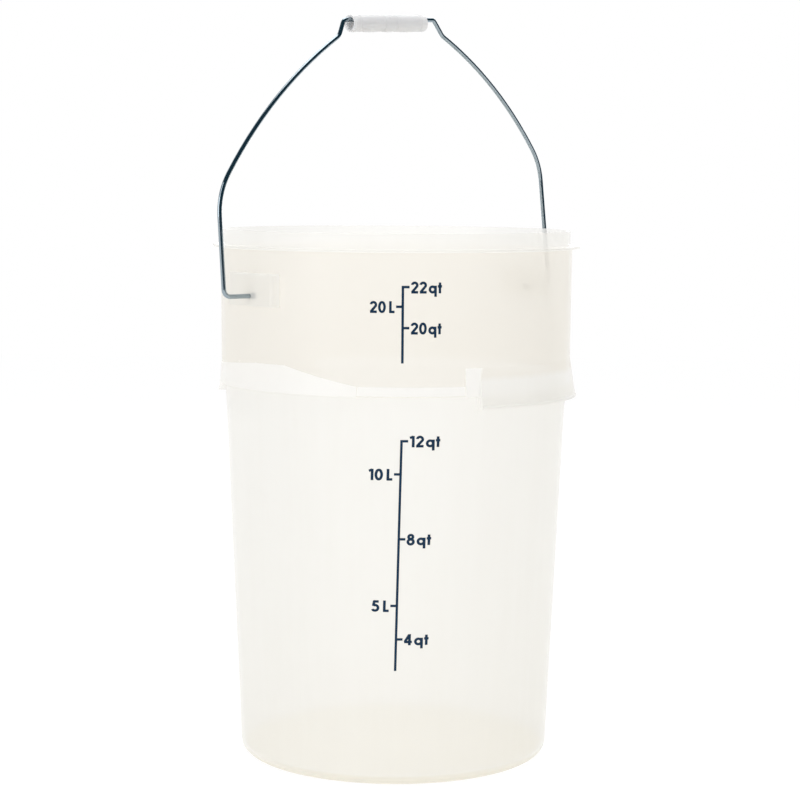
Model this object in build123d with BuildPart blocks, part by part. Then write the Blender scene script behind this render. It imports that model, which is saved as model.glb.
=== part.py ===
from build123d import *
import os
from math import cos, degrees, radians, sin, tan

# Plastic fermenting bucket with a wire bail and a loose ribbed grip.
# Millimetres, +Z up. The origin is the middle of the standing face, on the floor.
# The bail turns about an axis along X, so the two ears lie at -X and +X.

# ---- bucket: walls and floor ----
base_radius = 124.0  # where the lower wall's line meets the floor
lower_taper = 2.565  # degrees off vertical
base_corner_radius = 10.6
wall = 2.5
floor_thickness = 3.2
edge_radius = 0.8  # at the flange, the collar's top and the band
foot_groove_radius = 96.0  # middle of the shallow ring under the floor
foot_groove_width = 8.0
foot_groove_depth = 1.0
shoulder_height = 302.5  # where the wall steps out
shoulder_step = 4.2  # the band's lower edge, beyond the lower wall
band_height = 7.8  # the thin band right round the bucket
band_flare = 1.2  # how far the band's lower edge stands out from the upper wall
upper_taper = 0.4  # degrees off vertical

# ---- rim ----
upper_wall_height = 108.5  # from the shoulder to the underside of the flange
flange_reach = 6.3  # beyond the upper wall
flange_thickness = 2.2
collar_setback = 7.8  # from the flange's edge in to the lid collar
collar_height = 11.9
lead_in_height = 5.2  # bevel inside the collar's top
lead_in_depth = 1.3

# ---- ears, with the raised bands under them ----
ear_half_width = 28.0
ear_depth = 6.2  # the ear's flat face, beyond the upper wall
ear_thickness = 2.5
ear_top_drop = 18.0  # from the flange's underside down to the ear's top
ear_height = 25.0
ear_corner_radius = 3.0
pivot_drop = 17.5  # from the ear's top down to the pin's middle
ear_band_height = 21.5
ledge_fall = 7.0  # how much lower the raised band is where it meets the handle
ramp_start = 13.0  # degrees past the ear where the raised band begins to fall
ramp_end = 38.0  # degrees past the ear where it has come down to the thin band

# ---- lip handles ----
handle_direction = -74.0  # degrees from +X round to the middle of a handle
handle_arc = 58.0  # degrees that a handle covers
handle_drop = 9.5  # below the shoulder
handle_rise = 21.5  # above the shoulder
handle_flare = 3.3  # the skirt's lower edge, beyond the band
handle_skin = 2.2
handle_bead = 0.9
handle_bead_height = 2.6
handle_lead_arc = 5.0  # degrees of half-height flare that leads into a handle

# ---- bail wire ----
wire_diameter = 3.6
pin_clearance = 0.1  # round the pin, in the ear's hole
pin_end_gap = 0.5  # from the ear's plate to the head behind it
pin_head_diameter = 5.2
pin_head_length = 1.6
leg_offset = 23.4  # from the ear's face out to the leg of the bail
foot_bend_radius = 6.0
shoulder_bend_radius = 55.0
elbow_bend_radius = 8.0
rise_bend_radius = 3.6
# The bail is a little skewed: each side has its own lean and height.
# Heights are above the pins, leans are outwards, reaches are from the middle.
left_leg_lean = 5.2
left_shoulder_rise = 77.5
left_elbow_reach = 60.0
left_elbow_rise = 201.0
left_rise_reach = 55.5
left_rise_top = 213.7
right_leg_lean = -12.7
right_shoulder_rise = 102.8
right_elbow_reach = 46.8
right_elbow_rise = 205.6
right_rise_reach = 37.2
right_rise_top = 217.9
# How far each side's arch bows out from its chord.
left_arch_bow = 10.3
right_arch_bow = 9.2

# ---- grip ----
grip_diameter = 14.0
grip_groove_diameter = 12.8
grip_bore_diameter = 9.2
grip_segments = (6.0, 22.5, 10.5, 22.5, 6.0)
grip_groove_width = 1.9
grip_barrel = 0.4  # how much each segment swells in its middle
grip_middle = -12.0  # along X
grip_seat_clearance = 0.1  # between the top of the wire and the bore
grip_bore_chamfer = 0.5

# ---- places that follow from the sizes ----
shoulder_wall_radius = base_radius + shoulder_height * tan(radians(lower_taper))
band_radius = shoulder_wall_radius + shoulder_step
band_top = shoulder_height + band_height
upper_radius = band_radius - band_flare
flange_bottom = shoulder_height + upper_wall_height
flange_top = flange_bottom + flange_thickness
rim_top = flange_top + collar_height
upper_top_radius = upper_radius + (flange_bottom - band_top) * tan(radians(upper_taper))
flange_radius = upper_top_radius + flange_reach
collar_radius = flange_radius - collar_setback

ear_top = flange_bottom - ear_top_drop
ear_bottom = ear_top - ear_height
ear_face = upper_radius + ear_depth
pivot_height = ear_top - pivot_drop

wire_radius = wire_diameter / 2
leg_reach = ear_face + leg_offset
pin_head_outer = ear_face - ear_thickness - pin_end_gap
pin_end = pin_head_outer - pin_head_length


def lower_wall_radius(height):
    return base_radius + height * tan(radians(lower_taper))


def upper_wall_radius(height):
    return upper_radius + (height - band_top) * tan(radians(upper_taper))


def radial_plane(direction):
    """The upright half plane at this many degrees round from +X: x is radial, y is up."""
    angle = radians(direction)
    return Plane((0, 0, 0), x_dir=(cos(angle), sin(angle), 0), z_dir=(sin(angle), -cos(angle), 0))


# ---- ear: a shallow box, open at the bottom, that holds one pin of the bail ----
with BuildPart() as ear:
    with BuildSketch(Plane.XY.offset(ear_bottom)):
        with Locations((ear_face, 0)):
            Rectangle(2 * (ear_depth + wall), 2 * ear_half_width, align=(Align.MAX, Align.CENTER))
    extrude(amount=ear_height)
    fillet(ear.edges().filter_by(Axis.Z).group_by(Axis.X)[-1], ear_corner_radius)
    fillet(ear.faces().sort_by(Axis.Z)[-1].edges().group_by(Axis.X)[-1], ear_thickness / 2)
    with BuildSketch(Plane.XY.offset(ear_bottom)):
        with Locations((ear_face - ear_thickness, 0)):
            Rectangle(
                2 * (ear_depth + wall),
                2 * (ear_half_width - ear_thickness),
                align=(Align.MAX, Align.CENTER),
            )
    extrude(amount=ear_height - ear_thickness, mode=Mode.SUBTRACT)
    with BuildSketch(Plane.XY.offset(ear_bottom)):
        Circle(upper_radius - wall / 2)
    extrude(amount=ear_height, mode=Mode.SUBTRACT)
    with BuildSketch(Plane.YZ.offset(ear_face - 2 * ear_thickness)):
        with Locations((0, pivot_height)):
            Circle(wire_radius + pin_clearance)
    extrude(amount=3 * ear_thickness, mode=Mode.SUBTRACT)

# ---- raised band under an ear: a sloping ledge from a handle's end to a long ramp ----
handle_start = handle_direction - handle_arc / 2
handle_end = handle_direction + handle_arc / 2
ledge_top = shoulder_height + ear_band_height
ledge_top_radius = upper_wall_radius(ledge_top)

with BuildPart() as ear_band:
    with BuildSketch(Plane.XZ):
        with BuildLine():
            Polyline(
                (band_radius - wall / 2, shoulder_height),
                (band_radius, shoulder_height),
                (ledge_top_radius, ledge_top),
                (ledge_top_radius - wall / 2, ledge_top),
                close=True,
            )
        make_face()
    revolve(axis=Axis.Z)
    with BuildSketch(Plane.YZ):
        with BuildLine():
            Polyline(
                (band_radius * sin(radians(handle_end - 1)), shoulder_height),
                (band_radius * sin(radians(ramp_end)), shoulder_height),
                (band_radius * sin(radians(ramp_end)), band_top),
                (band_radius * sin(radians(ramp_start)), ledge_top),
                (0, ledge_top),
                (band_radius * sin(radians(handle_end - 1)), ledge_top - ledge_fall),
                close=True,
            )
        make_face()
    extrude(amount=flange_radius, mode=Mode.INTERSECT)

# ---- lip handle: a skirt that hangs over the shoulder, closed at its ends ----
handle_bottom = shoulder_height - handle_drop
handle_top = shoulder_height + handle_rise
skirt_radius = band_radius + handle_flare
web_arc = degrees(handle_skin / band_radius)

with BuildPart() as handle:
    with BuildSketch(radial_plane(handle_start)):
        with BuildLine():
            Polyline(
                (skirt_radius - handle_skin, handle_bottom),
                (skirt_radius + handle_bead, handle_bottom),
                (skirt_radius + handle_bead, handle_bottom + handle_bead_height / 2),
                (skirt_radius, handle_bottom + handle_bead_height),
                (upper_wall_radius(handle_top), handle_top),
                (upper_wall_radius(handle_top) - wall / 2, handle_top),
                (band_radius - wall, shoulder_height),
                (skirt_radius - handle_skin, shoulder_height),
                close=True,
            )
        make_face()
    revolve(axis=Axis.Z, revolution_arc=handle_arc)
    with BuildSketch(radial_plane(handle_start - handle_lead_arc)):
        with BuildLine():
            Polyline(
                (band_radius - wall, shoulder_height),
                (band_radius + handle_flare / 2, shoulder_height),
                (upper_wall_radius(handle_top), handle_top),
                (upper_wall_radius(handle_top) - wall / 2, handle_top),
                close=True,
            )
        make_face()
    revolve(axis=Axis.Z, revolution_arc=handle_lead_arc)
    for web_start in (handle_start, handle_end - web_arc):
        with BuildSketch(radial_plane(web_start)):
            with BuildLine():
                Polyline(
                    (lower_wall_radius(handle_bottom) - wall / 2, handle_bottom),
                    (skirt_radius - handle_skin / 2, handle_bottom),
                    (skirt_radius - handle_skin / 2, shoulder_height),
                    (lower_wall_radius(shoulder_height) - wall / 2, shoulder_height),
                    close=True,
                )
            make_face()
        revolve(axis=Axis.Z, revolution_arc=web_arc)

# ---- the bucket, one moulding ----
with BuildPart() as bucket_body:
    with BuildSketch(Plane.XZ) as section:
        with BuildLine():
            Polyline(
                (0, 0),
                (foot_groove_radius - foot_groove_width / 2, 0),
                (foot_groove_radius - foot_groove_width / 4, foot_groove_depth),
                (foot_groove_radius + foot_groove_width / 4, foot_groove_depth),
                (foot_groove_radius + foot_groove_width / 2, 0),
                (base_radius, 0),
                (shoulder_wall_radius, shoulder_height),
                (band_radius, shoulder_height),
                (upper_radius, band_top),
                (upper_top_radius, flange_bottom),
                (flange_radius, flange_bottom),
                (flange_radius, flange_top),
                (collar_radius, flange_top),
                (collar_radius, rim_top),
                (collar_radius - wall + lead_in_depth, rim_top),
                (collar_radius - wall, rim_top - lead_in_height),
                (collar_radius - wall, flange_bottom),
                (upper_top_radius - wall, flange_bottom - wall),
                (upper_radius - wall, band_top),
                (shoulder_wall_radius - wall, shoulder_height - wall),
                (lower_wall_radius(floor_thickness) - wall, floor_thickness),
                (0, floor_thickness),
                close=True,
            )
        make_face()
        outer_corner = section.vertices().sort_by_distance((base_radius, 0, 0))[0]
        fillet(outer_corner, base_corner_radius)
        inner_corner = section.vertices().sort_by_distance((base_radius - wall, 0, floor_thickness))[0]
        fillet(inner_corner, base_corner_radius - wall)
    revolve(axis=Axis.Z)
    sharp_rings = (
        (flange_radius, flange_bottom),
        (flange_radius, flange_top),
        (collar_radius, rim_top),
        (band_radius, shoulder_height),
    )
    rings = bucket_body.edges().filter_by(GeomType.CIRCLE)
    fillet([rings.sort_by_distance((r, 0, z))[0] for r, z in sharp_rings], edge_radius)
    with PolarLocations(0, 2):
        add(ear.part)
        add(ear_band.part)
        add(handle.part)

# ---- bail wire, from pin to pin ----
left_foot = (-leg_reach, pivot_height)
left_shoulder = (-leg_reach - left_leg_lean, pivot_height + left_shoulder_rise)
left_elbow = (-left_elbow_reach, pivot_height + left_elbow_rise)
left_rise = (-left_rise_reach, pivot_height + left_rise_top)
right_rise = (right_rise_reach, pivot_height + right_rise_top)
right_elbow = (right_elbow_reach, pivot_height + right_elbow_rise)
right_shoulder = (leg_reach + right_leg_lean, pivot_height + right_shoulder_rise)
right_foot = (leg_reach, pivot_height)

with BuildPart() as bail_wire:
    with BuildLine(Plane.XZ) as route:
        Polyline((-pin_end, pivot_height), left_foot, left_shoulder)
        SagittaArc(left_shoulder, left_elbow, left_arch_bow)
        Polyline(left_elbow, left_rise, right_rise, right_elbow)
        SagittaArc(right_elbow, right_shoulder, right_arch_bow)
        Polyline(right_shoulder, right_foot, (pin_end, pivot_height))
        for corners, bend_radius in (
            ((left_foot, right_foot), foot_bend_radius),
            ((left_shoulder, right_shoulder), shoulder_bend_radius),
            ((left_elbow, right_elbow), elbow_bend_radius),
            ((left_rise, right_rise), rise_bend_radius),
        ):
            for x, z in corners:
                fillet(route.vertices().sort_by_distance((x, 0, z))[0], bend_radius)
    with BuildSketch(Plane.YZ.offset(-pin_end)):
        with Locations((0, pivot_height)):
            Circle(wire_radius)
    sweep()
    for side in (-1, 1):
        head_plane = Plane((side * pin_end, 0, pivot_height), z_dir=(side, 0, 0))
        with BuildSketch(head_plane):
            Circle(pin_head_diameter / 2)
        extrude(amount=pin_head_length)

# ---- grip: a loose ribbed tube, its bore resting on the top of the wire ----
grip_along = (Vector(*right_rise) - Vector(*left_rise)).normalized()
grip_up = Vector(-grip_along.Y, grip_along.X)
wire_at_grip = Vector(*left_rise) + grip_along * ((grip_middle + left_rise_reach) / grip_along.X)
grip_sink = grip_bore_diameter / 2 - wire_radius - grip_seat_clearance
grip_centre = wire_at_grip - grip_up * grip_sink
grip_length = sum(grip_segments) + grip_groove_width * (len(grip_segments) - 1)
grip_plane = Plane(
    origin=(grip_centre.X, 0, grip_centre.Y),
    x_dir=(grip_along.X, 0, grip_along.Y),
    z_dir=(0, -1, 0),
)

with BuildPart() as bail_grip:
    with BuildSketch(grip_plane):
        with Locations((0, grip_groove_diameter / 4)):
            Rectangle(grip_length, grip_groove_diameter / 2)
        segment_start = -grip_length / 2
        for segment_length in grip_segments:
            segment_end = segment_start + segment_length
            shoulder_radius = grip_diameter / 2 - grip_barrel
            with BuildLine():
                Line((segment_start, 0), (segment_start, shoulder_radius))
                ThreePointArc(
                    (segment_start, shoulder_radius),
                    ((segment_start + segment_end) / 2, grip_diameter / 2),
                    (segment_end, shoulder_radius),
                )
                Line((segment_end, shoulder_radius), (segment_end, 0))
                Line((segment_end, 0), (segment_start, 0))
            make_face()
            segment_start = segment_end + grip_groove_width
    revolve(axis=Axis(grip_plane.origin, grip_plane.x_dir))
    with BuildSketch(Plane(grip_plane.origin, z_dir=grip_plane.x_dir)):
        Circle(grip_bore_diameter / 2)
    extrude(amount=grip_length, both=True, mode=Mode.SUBTRACT)
    bore_rims = bail_grip.edges().filter_by(GeomType.CIRCLE).sort_by(SortBy.RADIUS)[:2]
    chamfer(bore_rims, grip_bore_chamfer)

os.makedirs("parts", exist_ok=True)
bucket_body.part.label = "bucket_body"
export_step(bucket_body.part, "parts/bucket_body.step")
bail_wire.part.label = "bail_wire"
export_step(bail_wire.part, "parts/bail_wire.step")
bail_grip.part.label = "bail_grip"
export_step(bail_grip.part, "parts/bail_grip.step")
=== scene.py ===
from math import atan2, cos, radians, sin

import bmesh
import bpy
from mathutils import Matrix, Vector


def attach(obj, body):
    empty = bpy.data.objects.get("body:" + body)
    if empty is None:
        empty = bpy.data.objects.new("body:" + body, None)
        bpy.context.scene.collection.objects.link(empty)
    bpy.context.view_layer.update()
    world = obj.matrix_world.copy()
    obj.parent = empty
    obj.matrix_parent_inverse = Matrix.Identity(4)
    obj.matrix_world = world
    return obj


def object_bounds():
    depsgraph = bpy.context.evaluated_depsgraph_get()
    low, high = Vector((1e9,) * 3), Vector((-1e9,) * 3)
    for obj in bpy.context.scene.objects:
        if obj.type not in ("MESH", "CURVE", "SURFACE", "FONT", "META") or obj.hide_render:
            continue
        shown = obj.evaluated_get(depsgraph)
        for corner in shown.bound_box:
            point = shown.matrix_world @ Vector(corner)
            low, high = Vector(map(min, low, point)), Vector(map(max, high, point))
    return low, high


# A translucent plastic fermenting bucket with a steel wire bail, a loose ribbed grip
# and a volume scale printed on its wall. The CAD nodes carry every moulded shape.
# What is made here is the ink of the scale, the finishes, the camera and the studio round it.

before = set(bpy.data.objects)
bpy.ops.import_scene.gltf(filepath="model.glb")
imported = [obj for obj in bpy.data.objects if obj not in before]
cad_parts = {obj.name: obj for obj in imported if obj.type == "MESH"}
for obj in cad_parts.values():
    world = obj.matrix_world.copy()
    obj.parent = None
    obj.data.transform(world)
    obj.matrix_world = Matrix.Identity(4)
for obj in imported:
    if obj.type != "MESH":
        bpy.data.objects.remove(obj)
cad_low, cad_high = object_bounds()
scene = bpy.context.scene
scene.view_settings.view_transform = "Standard"
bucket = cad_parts["bucket_body"]
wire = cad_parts["bail_wire"]
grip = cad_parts["bail_grip"]
MM = 0.001
UP = Vector((0, 0, 1))


# ---- camera ----
# It stands a little higher than the rim and looks slightly down, from between -X and -Y.
VIEW_TURN = radians(40)  # from +Y round towards +X, the way the camera looks
VIEW_TILT = radians(5.761)  # below the horizon
VIEW_LEAN = radians(0.407)  # a small roll that lifts its right side
CAMERA_DISTANCE = 1.7828  # metres from the bucket's axis
CAMERA_HEIGHT = 0.4667
CAMERA_SIDESTEP = 0.0036  # to its right
LENS = 99.3  # millimetres, on a 36 mm sensor

ahead = Vector((sin(VIEW_TURN), cos(VIEW_TURN), 0))
side = Vector((cos(VIEW_TURN), -sin(VIEW_TURN), 0))


def make_camera():
    """The camera, levelled first, then tilted down and leaned by its small roll."""
    forward = ahead * cos(VIEW_TILT) - UP * sin(VIEW_TILT)
    tilted = ahead * sin(VIEW_TILT) + UP * cos(VIEW_TILT)
    across = side * cos(VIEW_LEAN) + tilted * sin(VIEW_LEAN)
    upward = tilted * cos(VIEW_LEAN) - side * sin(VIEW_LEAN)
    data = bpy.data.cameras.new("studio_camera")
    data.lens = LENS
    data.sensor_width = 36.0
    data.clip_start = 0.05
    data.clip_end = 50.0
    camera = bpy.data.objects.new("studio_camera", data)
    scene.collection.objects.link(camera)
    turn = Matrix((across, upward, -forward)).transposed().to_4x4()
    place = side * CAMERA_SIDESTEP - ahead * CAMERA_DISTANCE + UP * CAMERA_HEIGHT
    camera.matrix_world = Matrix.Translation(place) @ turn
    scene.camera = camera


# ---- helpers ----
def srgb(code):
    """An sRGB hex code as the linear colour that a shader reads."""
    shown = [int(code[start : start + 2], 16) / 255 for start in (1, 3, 5)]
    return [v / 12.92 if v <= 0.04045 else ((v + 0.055) / 1.055) ** 2.4 for v in shown] + [1.0]


def per_metre(size):
    """The scale that makes a pattern's features about this many millimetres across."""
    return 1000.0 / size


def add(tree, kind, inputs=None, **settings):
    """Adds a node. inputs gives a socket, by name or number, a value or another node's output."""
    node = tree.nodes.new("ShaderNode" + kind)
    for name, value in settings.items():
        setattr(node, name, value)
    for key, value in (inputs or {}).items():
        if isinstance(value, bpy.types.NodeSocket):
            tree.links.new(value, node.inputs[key])
        else:
            node.inputs[key].default_value = value
    return node


def all_of(tree, *masks):
    """A mask that is 1 only where all of these are."""
    whole = masks[0].outputs[0]
    for mask in masks[1:]:
        whole = add(tree, "Math", {0: whole, 1: mask.outputs[0]}, operation="MULTIPLY").outputs[0]
    return whole


def start_material(name):
    """A material with an empty tree, and that tree."""
    material = bpy.data.materials.new(name)
    material.use_nodes = True
    material.node_tree.nodes.clear()
    return material, material.node_tree


def make_object(name, bm, material):
    """Turns a finished bmesh into an object of one material."""
    mesh = bpy.data.meshes.new(name)
    bm.to_mesh(mesh)
    bm.free()
    mesh.materials.append(material)
    thing = bpy.data.objects.new(name, mesh)
    scene.collection.objects.link(thing)
    return thing


# ---- finishes ----
HANDLE_TURN = radians(-74)  # from +X round to the middle of a lip handle

# What tells one tone of the bucket from the next, in millimetres. Each mask begins at its first
# number and is whole at its second.
TONE_HEIGHTS = {
    "above_shoulder": (302.0, 303.0),
    "below_flange": (411.5, 410.5),
    "below_band_top": (324.6, 324.0),
    "on_floor": (9.0, 4.0),
}
TONE_REACHES = {
    "off_ears": (142.2, 141.5),  # from the bucket's axis
    "off_handles": (124.5, 123.5),  # from the plane between the two lip handles
}


def polypropylene_tones(tree, place, flow):
    """The bucket's colour, with painted shade on its upper wall and painted light on its flared
    bands, and the share of light that goes through it unscattered.

    place is the point in the part's own frame, and flow the same point with its height shrunk.
    """
    # Slow clouds, where the resin cooled unevenly, times upright flow streaks from the gate
    # under the floor.
    clouds = add(tree, "TexNoise", {"Vector": place, "Scale": per_metre(85), "Detail": 2.0})
    streaks = add(
        tree,
        "TexNoise",
        {"Vector": flow, "Scale": per_metre(11), "Detail": 3.0, "Roughness": 0.6},
    )
    uneven = add(
        tree, "Math", {0: clouds.outputs[0], 1: streaks.outputs[0]}, operation="MULTIPLY"
    )
    milk = add(
        tree,
        "Mix",
        {0: uneven.outputs[0], 6: srgb("#FAF9F7"), 7: srgb("#F5F3EF")},
        data_type="RGBA",
    )

    height = add(tree, "SeparateXYZ", {0: place}).outputs["Z"]
    in_plan = add(tree, "Mapping", {"Vector": place, "Scale": (1.0, 1.0, 0.0)})
    from_axis = add(tree, "VectorMath", {0: in_plan.outputs[0]}, operation="LENGTH")
    to_handles = add(
        tree,
        "VectorMath",
        {0: place, 1: (cos(HANDLE_TURN), sin(HANDLE_TURN), 0.0)},
        operation="DOT_PRODUCT",
    )
    either_side = add(tree, "Math", {0: to_handles.outputs["Value"]}, operation="ABSOLUTE")
    measured = {"off_ears": from_axis.outputs["Value"], "off_handles": either_side.outputs[0]}
    tone = {
        name: add(
            tree,
            "MapRange",
            {"Value": measured.get(name, height), "From Min": begin * MM, "From Max": whole * MM},
        )
        for name, (begin, whole) in (TONE_HEIGHTS | TONE_REACHES).items()
    }

    # Painted light: the flared bands that join the wall to its shoulder are drawn whiter and less
    # clear, because they catch more light. A band is told by its height and by facing a little
    # upwards; the lip handles stand off from it.
    facing = add(tree, "SeparateXYZ", {0: add(tree, "NewGeometry").outputs["True Normal"]})
    facing_up = add(
        tree, "MapRange", {"Value": facing.outputs["Z"], "From Min": 0.013, "From Max": 0.022}
    )
    painted_light_band = all_of(
        tree, facing_up, tone["above_shoulder"], tone["below_band_top"], tone["off_handles"]
    )
    # Painted shade: between shoulder and flange the wall is drawn darker and more straw-coloured,
    # standing in for the dimmer light it gets, but not on the thin faces of the ears.
    painted_shade_upper_wall = all_of(tree, tone["above_shoulder"], tone["below_flange"], tone["off_ears"])
    # The floor is the thickest place, so it shows the most straw.
    floor = tone["on_floor"].outputs[0]

    colour = milk.outputs[2]
    # The floor's straw is the plastic's own; the other two mixes are painted shade and painted
    # light.
    for share, hue in ((painted_shade_upper_wall, "#F5F1EA"), (painted_light_band, "#FFFEFC"), (floor, "#EAE3D1")):
        colour = add(
            tree, "Mix", {0: share, 6: colour, 7: srgb(hue)}, data_type="RGBA"
        ).outputs[2]
    # The painted light bands are also drawn less clear, which makes them read brighter still.
    clear_share = add(tree, "MapRange", {"Value": painted_light_band, "To Min": 0.33, "To Max": 0.2})
    return colour, clear_share.outputs[0]


def polypropylene_skin(tree, place, flow):
    """The bucket's roughness, and its normal."""
    # Stacking rubs: short level scuffs, a little duller than the skin.
    level = add(tree, "Mapping", {"Vector": place, "Scale": (1.0, 1.0, 16.0)})
    rubs = add(
        tree,
        "TexNoise",
        {"Vector": level.outputs[0], "Scale": per_metre(38), "Detail": 4.0, "Roughness": 0.7},
    )
    dullness = add(
        tree,
        "MapRange",
        {
            "Value": rubs.outputs[0],
            "From Min": 0.62,
            "From Max": 0.75,
            "To Min": 0.30,
            "To Max": 0.46,
        },
    )
    # The blasted cavity's grain is drawn at 1.6 mm, a few times its real size, so that it shows.
    grain = add(tree, "TexNoise", {"Vector": place, "Scale": per_metre(1.6), "Detail": 2.0})
    fine = add(
        tree, "Bump", {"Height": grain.outputs[0], "Strength": 0.25, "Distance": 0.05 * MM}
    )
    waves = add(tree, "TexNoise", {"Vector": flow, "Scale": per_metre(30), "Detail": 1.0})
    skin = add(
        tree,
        "Bump",
        {
            "Height": waves.outputs[0],
            "Strength": 0.5,
            "Distance": 0.5 * MM,
            "Normal": fine.outputs[0],
        },
    )
    return dullness.outputs[0], skin.outputs[0]


def natural_polypropylene():
    """Natural polypropylene, injection moulded against a finely blasted steel cavity.

    It is milky white with a little straw in it. A wall passes about as much light as it
    throws back, and a small share comes through unscattered, so that the far side,
    the floor and the pins show faintly. The skin is satin, with a slow waviness from shrinking.
    """
    material, tree = start_material("natural_polypropylene")
    place = add(tree, "TexCoord").outputs["Object"]
    flow = add(tree, "Mapping", {"Vector": place, "Scale": (1.0, 1.0, 0.07)}).outputs[0]
    colour, clear_share = polypropylene_tones(tree, place, flow)
    dullness, skin = polypropylene_skin(tree, place, flow)

    front = add(
        tree,
        "BsdfPrincipled",
        {
            "Base Color": colour,
            "Roughness": dullness,
            "IOR": 1.49,
            "Specular IOR Level": 0.5,
            "Normal": skin,
        },
    )
    glow = add(tree, "BsdfTranslucent", {"Color": colour, "Normal": skin})
    clear = add(tree, "BsdfTransparent", {"Color": srgb("#FDFDFA")})
    milky = add(tree, "MixShader", {0: 0.48, 1: front.outputs[0], 2: glow.outputs[0]})
    wall = add(tree, "MixShader", {0: clear_share, 1: milky.outputs[0], 2: clear.outputs[0]})
    # The wall's scattering is all drawn where light enters it, so light leaves it untouched.
    leaving = add(tree, "BsdfTransparent", {"Color": (1.0, 1.0, 1.0, 1.0)})
    inside = add(tree, "NewGeometry").outputs["Backfacing"]
    whole = add(tree, "MixShader", {0: inside, 1: wall.outputs[0], 2: leaving.outputs[0]})
    add(tree, "OutputMaterial", {"Surface": whole.outputs[0]})
    return material


def drawn_stainless_steel():
    """Stainless steel wire, bright drawn and bent cold: mirror-like with a faint drawn haze."""
    material, tree = start_material("bright_drawn_stainless_steel")
    place = add(tree, "TexCoord").outputs["Object"]
    haze = add(tree, "TexNoise", {"Vector": place, "Scale": per_metre(4), "Detail": 4.0})
    roughness = add(
        tree, "MapRange", {"Value": haze.outputs[0], "To Min": 0.07, "To Max": 0.15}
    )
    tone = add(
        tree,
        "Mix",
        {0: haze.outputs[0], 6: srgb("#A8B4BB"), 7: srgb("#919EA6")},
        data_type="RGBA",
    )
    nicks = add(tree, "TexNoise", {"Vector": place, "Scale": per_metre(1.2), "Detail": 2.0})
    skin = add(
        tree, "Bump", {"Height": nicks.outputs[0], "Strength": 0.2, "Distance": 0.03 * MM}
    )
    steel = add(
        tree,
        "BsdfPrincipled",
        {
            "Base Color": tone.outputs[2],
            "Metallic": 1.0,
            "Roughness": roughness.outputs[0],
            "Normal": skin.outputs[0],
        },
    )
    add(tree, "OutputMaterial", {"Surface": steel.outputs[0]})
    return material


def white_polyethylene():
    """White high-density polyethylene, moulded in a polished cavity: soft, waxy and glossy."""
    material, tree = start_material("white_polyethylene")
    place = add(tree, "TexCoord").outputs["Object"]
    cast = add(tree, "TexNoise", {"Vector": place, "Scale": per_metre(14), "Detail": 3.0})
    white = add(
        tree,
        "Mix",
        {0: cast.outputs[0], 6: srgb("#FDFCFC"), 7: srgb("#F2F1F1")},
        data_type="RGBA",
    )
    handled = add(
        tree,
        "TexNoise",
        {"Vector": place, "Scale": per_metre(5), "Detail": 4.0, "Roughness": 0.65},
    )
    roughness = add(
        tree, "MapRange", {"Value": handled.outputs[0], "To Min": 0.20, "To Max": 0.42}
    )
    skin = add(
        tree, "Bump", {"Height": handled.outputs[0], "Strength": 0.3, "Distance": 0.12 * MM}
    )
    plastic = add(
        tree,
        "BsdfPrincipled",
        {
            "Base Color": white.outputs[2],
            "Roughness": roughness.outputs[0],
            "IOR": 1.52,
            "Subsurface Weight": 0.9,
            "Subsurface Radius": (1.0, 0.97, 0.95),
            "Subsurface Scale": 3.0 * MM,
            "Normal": skin.outputs[0],
        },
    )
    # Light soaks through the tube's thin wall, so its bore is pale too.
    soak = add(tree, "BsdfTranslucent", {"Color": white.outputs[2], "Normal": skin.outputs[0]})
    whole = add(tree, "MixShader", {0: 0.15, 1: plastic.outputs[0], 2: soak.outputs[0]})
    add(tree, "OutputMaterial", {"Surface": whole.outputs[0]})
    return material


def pad_printing_ink():
    """Navy pad-printing ink, one thin coat: satin, a little uneven where the pad lifted off."""
    material, tree = start_material("navy_pad_printing_ink")
    place = add(tree, "TexCoord").outputs["Object"]
    coat = add(
        tree,
        "TexNoise",
        {"Vector": place, "Scale": per_metre(2.2), "Detail": 4.0, "Roughness": 0.6},
    )
    navy = add(
        tree,
        "Mix",
        {0: coat.outputs[0], 6: srgb("#02213A"), 7: srgb("#0B3858")},
        data_type="RGBA",
    )
    roughness = add(
        tree, "MapRange", {"Value": coat.outputs[0], "To Min": 0.38, "To Max": 0.58}
    )
    skin = add(
        tree, "Bump", {"Height": coat.outputs[0], "Strength": 0.2, "Distance": 0.04 * MM}
    )
    ink = add(
        tree,
        "BsdfPrincipled",
        {
            "Base Color": navy.outputs[2],
            "Roughness": roughness.outputs[0],
            "IOR": 1.5,
            "Specular IOR Level": 0.25,
            "Normal": skin.outputs[0],
        },
    )
    add(tree, "OutputMaterial", {"Surface": ink.outputs[0]})
    return material


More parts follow.
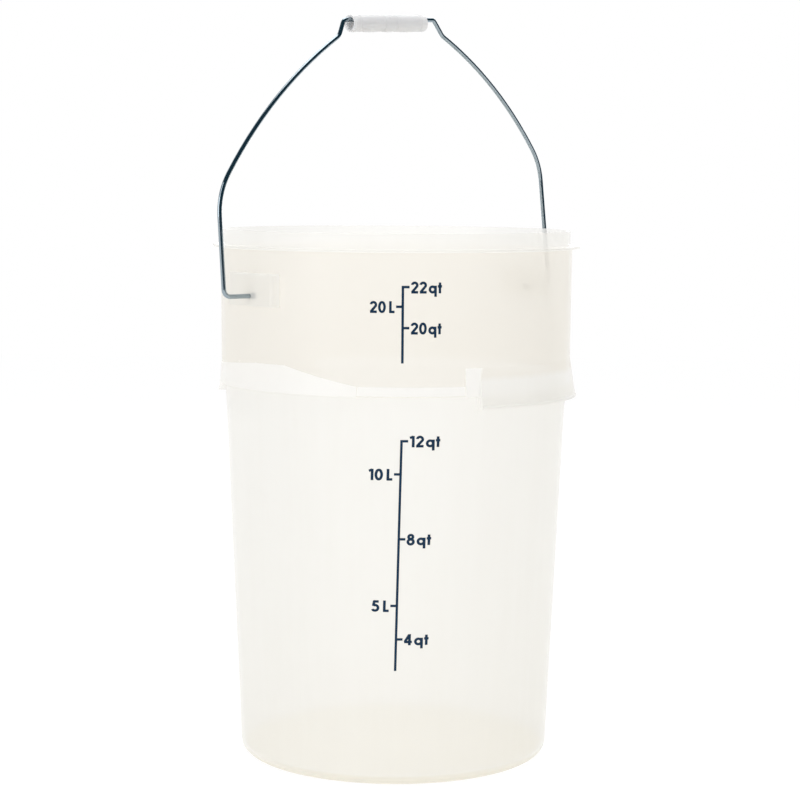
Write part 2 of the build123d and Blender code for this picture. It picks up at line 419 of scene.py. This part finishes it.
# ---- the printed volume scale ----
# Millimetres. Each glyph has its width, its bars and its bends. It stands on y = 0 and starts at
# x = 0. A bar runs between two points. A bend has a centre and a radius, and the degrees where it
# begins and that it sweeps.
STROKE = 1.9
GLYPHS = {
    # The 0 is two small bends, at its top and foot, and two flat ones that run into them smoothly.
    "0": (
        5.6,
        [],
        [
            ((2.8, 6.45), 1.45, 29.35, 121.3),
            ((2.8, 2.25), 1.45, 209.35, 121.3),
            ((-0.934, 4.35), 5.734, -29.35, 58.7),
            ((6.534, 4.35), 5.734, 150.65, 58.7),
        ],
    ),
    "1": (3.6, [((0.3, 7.1), (2.6, 8.1)), ((2.6, 0.0), (2.6, 8.7))], []),
    "2": (
        5.6,
        [((4.4, 5.1), (0.95, 0.95)), ((0.25, 0.8), (5.4, 0.8))],
        [((2.8, 6.0), 1.9, -32, 202)],
    ),
    "4": (
        5.8,
        [((3.9, 0.0), (3.9, 8.7)), ((3.7, 8.2), (0.7, 2.7)), ((0.2, 2.6), (5.6, 2.6))],
        [],
    ),
    "5": (
        5.4,
        [((1.3, 7.9), (4.9, 7.9)), ((1.9, 8.5), (1.2, 4.4))],
        [((2.4, 2.95), 2.15, -150, 272)],
    ),
    "8": (5.6, [], [((2.8, 2.65), 1.9, 0, 360), ((2.8, 6.4), 1.5, 0, 360)]),
    "q": (5.8, [((5.0, -2.6), (5.0, 5.75))], [((2.75, 2.9), 2.1, 0, 360)]),
    "t": (3.4, [((1.7, 0.0), (1.7, 8.1)), ((0.1, 5.2), (3.3, 5.2))], []),
    "L": (4.0, [((0.8, 0.0), (0.8, 8.8)), ((0.0, 0.8), (3.9, 0.8))], []),
}
GLYPH_HEIGHT = 8.7
GAP = 0.8  # between two glyphs
UNIT_GAPS = {"q": 1.6, "L": 2.7}  # before these
BAR_STEP = 1.5  # a bar is cut this often, so that it can follow the round wall
BEND_STEP = 11  # degrees
TICK_REACH = 5.0  # from the middle of the line
LABEL_START = 6.0
LABEL_DROP = 0.3  # of a label's middle, below its tick
FILM = 0.06  # the ink's thickness, drawn thicker than a real coat
STAND_OFF = 0.04  # from the wall to the ink, so that neither hides in the other
# Strokes that cross lie at slightly different heights, so that no two share a plane.
LAYER = 0.004
LINE_LIFT = 0.012
TICK_LIFT = 0.016
# The marks as they stand on the wall: a height above the floor and the words beside it.
QUART_MARKS = ((385.5, "22qt"), (354.9, "20qt"), (269.4, "12qt"), (194.3, "8qt"), (116.6, "4qt"))
LITRE_MARKS = ((370.8, "20L"), (244.1, "10L"), (142.7, "5L"))
UPPER_LINE = (328.4, 385.5)
LOWER_LINE = (91.9, 269.4)
FACING = 230.0  # degrees from +X round to the side that the scale faces
FOOT_TURN = 0.6  # degrees from FACING to the foot of the line
LINE_DRIFT = 1.5  # how many degrees further round its top is
LOWER_SPREAD = 1.1  # the lower labels are cut this much wider
OUTSIDE = 0.3  # metres from the axis, clear of everything on the bucket


def line_turn(height):
    """The direction in which the scale's line stands at this height, from +X, in radians."""
    foot, top = LOWER_LINE
    share = min(max((height - foot) / (top - foot), 0.0), 1.0)
    return radians(FACING + FOOT_TURN + LINE_DRIFT * share)


def bar(bm, start, end, lift):
    """A straight stroke with square ends."""
    start, end = Vector(start), Vector(end)
    run = end - start
    place = (
        Matrix.Translation(((start.x + end.x) / 2, (start.y + end.y) / 2, lift))
        @ Matrix.Rotation(atan2(run.y, run.x), 4, "Z")
        @ Matrix.Diagonal((run.length / 2, STROKE / 2, 1.0, 1.0))
    )
    pieces = max(1, round(run.length / BAR_STEP))
    bmesh.ops.create_grid(bm, x_segments=pieces, y_segments=1, size=1.0, matrix=place)


def bend(bm, centre, radius, begin, sweep, lift):
    """A round stroke: a short radial edge, spun about the stroke's centre."""
    reach = Vector((cos(radians(begin)), sin(radians(begin)), 0))
    middle = Vector((centre[0], centre[1], lift))
    ends = [bm.verts.new(middle + reach * (radius + way * STROKE / 2)) for way in (-1, 1)]
    edge = bm.edges.new(ends)
    bmesh.ops.spin(
        bm,
        geom=[*ends, edge],
        cent=middle,
        axis=UP,
        angle=radians(sweep),
        steps=max(4, round(sweep / BEND_STEP)),
        use_merge=sweep == 360,
    )


def spread(height):
    """How much wider than the glyphs' own drawing a label at this height is."""
    return LOWER_SPREAD if height < UPPER_LINE[0] else 1.0


def write(bm, words, left, height):
    """One label, from its left end, with its digits centred on a height."""
    first = len(bm.verts)
    across = 0
    for position, letter in enumerate(words):
        width, bars, bends = GLYPHS[letter]
        if position:
            across += UNIT_GAPS.get(letter, GAP)
        own = len(bm.verts)
        for layer, (start, end) in enumerate(bars):
            bar(bm, start, end, LAYER * layer)
        for layer, values in enumerate(bends, len(bars)):
            bend(bm, *values, LAYER * layer)
        bm.verts.ensure_lookup_table()
        bmesh.ops.translate(bm, verts=bm.verts[own:], vec=(across, 0, 0))
        across += width
    bmesh.ops.scale(bm, verts=bm.verts[first:], vec=(spread(height), 1, 1))
    bmesh.ops.translate(bm, verts=bm.verts[first:], vec=(left, height - GLYPH_HEIGHT / 2, 0))


def label_width(words, height):
    """How wide a label is at this height, in millimetres."""
    gaps = sum(UNIT_GAPS.get(letter, GAP) for letter in words[1:])
    return spread(height) * (gaps + sum(GLYPHS[letter][0] for letter in words))


def wall_reach(height, turn):
    """From the axis to the bucket's outer wall, at this height and in this direction, in metres."""
    out = Vector((cos(turn), sin(turn), 0))
    _, where, _, _ = bucket.ray_cast(out * OUTSIDE + UP * height * MM, -out)
    return Vector((where.x, where.y)).length


def printed_scale():
    """The ink: drawn flat in millimetres, given its thickness, then laid on the bucket's wall."""
    bm = bmesh.new()
    for low, high in (UPPER_LINE, LOWER_LINE):
        bar(bm, (0, low), (0, high + STROKE / 2), LINE_LIFT)
    for height, words in QUART_MARKS:
        bar(bm, (0, height), (TICK_REACH, height), TICK_LIFT)
        write(bm, words, LABEL_START, height - LABEL_DROP)
    for height, words in LITRE_MARKS:
        bar(bm, (0, height), (-TICK_REACH, height), TICK_LIFT)
        write(bm, words, -LABEL_START - label_width(words, height), height - LABEL_DROP)

    film = bmesh.ops.extrude_face_region(bm, geom=bm.faces[:], use_keep_orig=True)
    raised = [piece for piece in film["geom"] if isinstance(piece, bmesh.types.BMVert)]
    bmesh.ops.translate(bm, verts=raised, vec=(0, 0, FILM))
    for vert in bm.verts:
        across, height, lift = vert.co
        middle = line_turn(height)
        turn = middle + across * MM / wall_reach(height, middle)
        reach = wall_reach(height, turn) + (STAND_OFF + lift) * MM
        vert.co = (reach * cos(turn), reach * sin(turn), height * MM)
    bmesh.ops.recalc_face_normals(bm, faces=bm.faces)
    scale = make_object("printed_volume_scale", bm, pad_printing_ink())
    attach(scale, "bucket")


# ---- studio ----
def seen_share(tree):
    """1 for a ray that shows the studio itself, from the camera, in a mirror or through glass."""
    path = add(tree, "LightPath")
    seen = path.outputs["Is Camera Ray"]
    for way in ("Is Glossy Ray", "Is Transmission Ray"):
        seen = add(tree, "Math", {0: seen, 1: path.outputs[way]}, operation="MAXIMUM").outputs[0]
    return seen


def white_painted_board():
    """White painted board, rolled matt: it takes the object's shadow and is else plain white."""
    material, tree = start_material("white_painted_board")
    place = add(tree, "TexCoord").outputs["Object"]
    roller = add(tree, "TexNoise", {"Vector": place, "Scale": per_metre(3), "Detail": 2.0})
    skin = add(
        tree, "Bump", {"Height": roller.outputs[0], "Strength": 0.1, "Distance": 0.1 * MM}
    )
    paint = add(
        tree,
        "BsdfPrincipled",
        {"Base Color": srgb("#ECECEA"), "Roughness": 0.8, "Normal": skin.outputs[0]},
    )
    # Where the studio itself is seen, most of the board is plain white. The rest takes the light.
    white = add(tree, "Emission", {"Color": (1.0, 1.0, 1.0, 1.0), "Strength": 1.1})
    share = add(tree, "Math", {0: seen_share(tree), 1: 0.8}, operation="MULTIPLY")
    both = add(tree, "MixShader", {0: share.outputs[0], 1: paint.outputs[0], 2: white.outputs[0]})
    add(tree, "OutputMaterial", {"Surface": both.outputs[0]})
    return material


def make_floor():
    """A wide round board, just under the bucket."""
    bm = bmesh.new()
    bmesh.ops.create_circle(bm, cap_ends=True, segments=96, radius=4.0)
    bmesh.ops.translate(bm, verts=bm.verts, vec=(0, 0, cad_low.z - 0.2 * MM))
    make_object("studio_floor", bm, white_painted_board())


# Each card is an upright outline, reach and height in metres, swept round the bucket's axis. Its
# degrees run clockwise, seen from above, from the camera's right: where it starts, and how far
# back it sweeps.
CARDS = (
    (117, 150, ((2.6, 0.0), (2.6, 1.2))),
    (190, 230, ((2.6, 1.2), (2.4, 3.0), (1.1, 3.4))),
)
CARD_STEP = 5  # degrees


def make_dark_cards():
    """Dark blue cards, seen only in mirrors: one round the front and right, and a hood over it.

    They give the bright wire its dark side and leave a thin light one to its left.
    """
    material, tree = start_material("dark_blue_card")
    tone = add(tree, "Emission", {"Color": srgb("#24424F"), "Strength": 1.0})
    add(tree, "OutputMaterial", {"Surface": tone.outputs[0]})
    bm = bmesh.new()
    for start, sweep, outline in CARDS:
        out = side * cos(radians(start)) - ahead * sin(radians(start))
        line = [bm.verts.new(out * reach + UP * height) for reach, height in outline]
        edges = [bm.edges.new(pair) for pair in zip(line, line[1:])]
        bmesh.ops.spin(
            bm,
            geom=line + edges,
            cent=(0, 0, 0),
            axis=UP,
            angle=radians(sweep),
            steps=round(sweep / CARD_STEP),
        )
    cards = make_object("dark_cards", bm, material)
    cards.visible_camera = False
    cards.visible_diffuse = False
    cards.visible_transmission = False
    cards.visible_shadow = False


def make_world():
    """White air, with dark flags at both sides: the walls are lit from front, back and above."""
    world = bpy.data.worlds.new("studio_air")
    world.use_nodes = True
    tree = world.node_tree
    tree.nodes.clear()
    direction = add(tree, "TexCoord").outputs["Generated"]
    way = add(tree, "VectorMath", {0: direction, 1: side}, operation="DOT_PRODUCT")
    sideways = add(tree, "Math", {0: way.outputs["Value"]}, operation="ABSOLUTE")
    strength = add(
        tree,
        "MapRange",
        {"Value": sideways.outputs[0], "From Min": 0.3, "To Min": 0.81, "To Max": 0.24},
    )
    air = add(
        tree, "Background", {"Color": srgb("#FBFCFF"), "Strength": strength.outputs[0]}
    )
    white = add(tree, "Background", {"Color": (1.0, 1.0, 1.0, 1.0), "Strength": 1.0})
    sky = add(tree, "MixShader", {0: seen_share(tree), 1: air.outputs[0], 2: white.outputs[0]})
    add(tree, "OutputWorld", {"Surface": sky.outputs[0]})
    scene.world = world


AIM_SHARE = 0.45  # of the whole height, a little above the middle of the bucket


def softbox(name, turn, height, distance, width, tall, watts, colour, mirrored=True):
    """A lamp behind a diffuser, aimed at the bucket.

    It is turned round the bucket from the camera's side, in degrees, and its sizes are metres.
    """
    data = bpy.data.lights.new(name, "AREA")
    data.shape = "RECTANGLE"
    data.size = width
    data.size_y = tall
    data.energy = watts
    data.color = srgb(colour)[:3]
    lamp = bpy.data.objects.new(name, data)
    scene.collection.objects.link(lamp)
    out = side * sin(radians(turn)) - ahead * cos(radians(turn))
    place = out * distance + UP * height
    aim = UP * (cad_high.z * AIM_SHARE)
    lamp.location = place
    lamp.rotation_mode = "QUATERNION"
    lamp.rotation_quaternion = (aim - place).to_track_quat("-Z", "Y")
    lamp.visible_camera = False
    lamp.visible_glossy = mirrored


make_camera()
make_world()
make_floor()
make_dark_cards()
softbox("left_softbox", -50, 0.9, 1.9, 0.7, 1.4, 7.5, "#FCFDFF")
softbox("right_softbox", 40, 0.9, 2.1, 0.8, 1.2, 6.0, "#FFFAF2", mirrored=False)
softbox("back_softbox", 180, 1.0, 2.4, 1.2, 1.4, 13.0, "#FFFFFF")
softbox("top_softbox", 180, 2.1, 0.3, 1.6, 1.6, 13.0, "#FFFFFF")

bucket.data.materials[0] = natural_polypropylene()
wire.data.materials[0] = drawn_stainless_steel()
grip.data.materials[0] = white_polyethylene()
printed_scale()
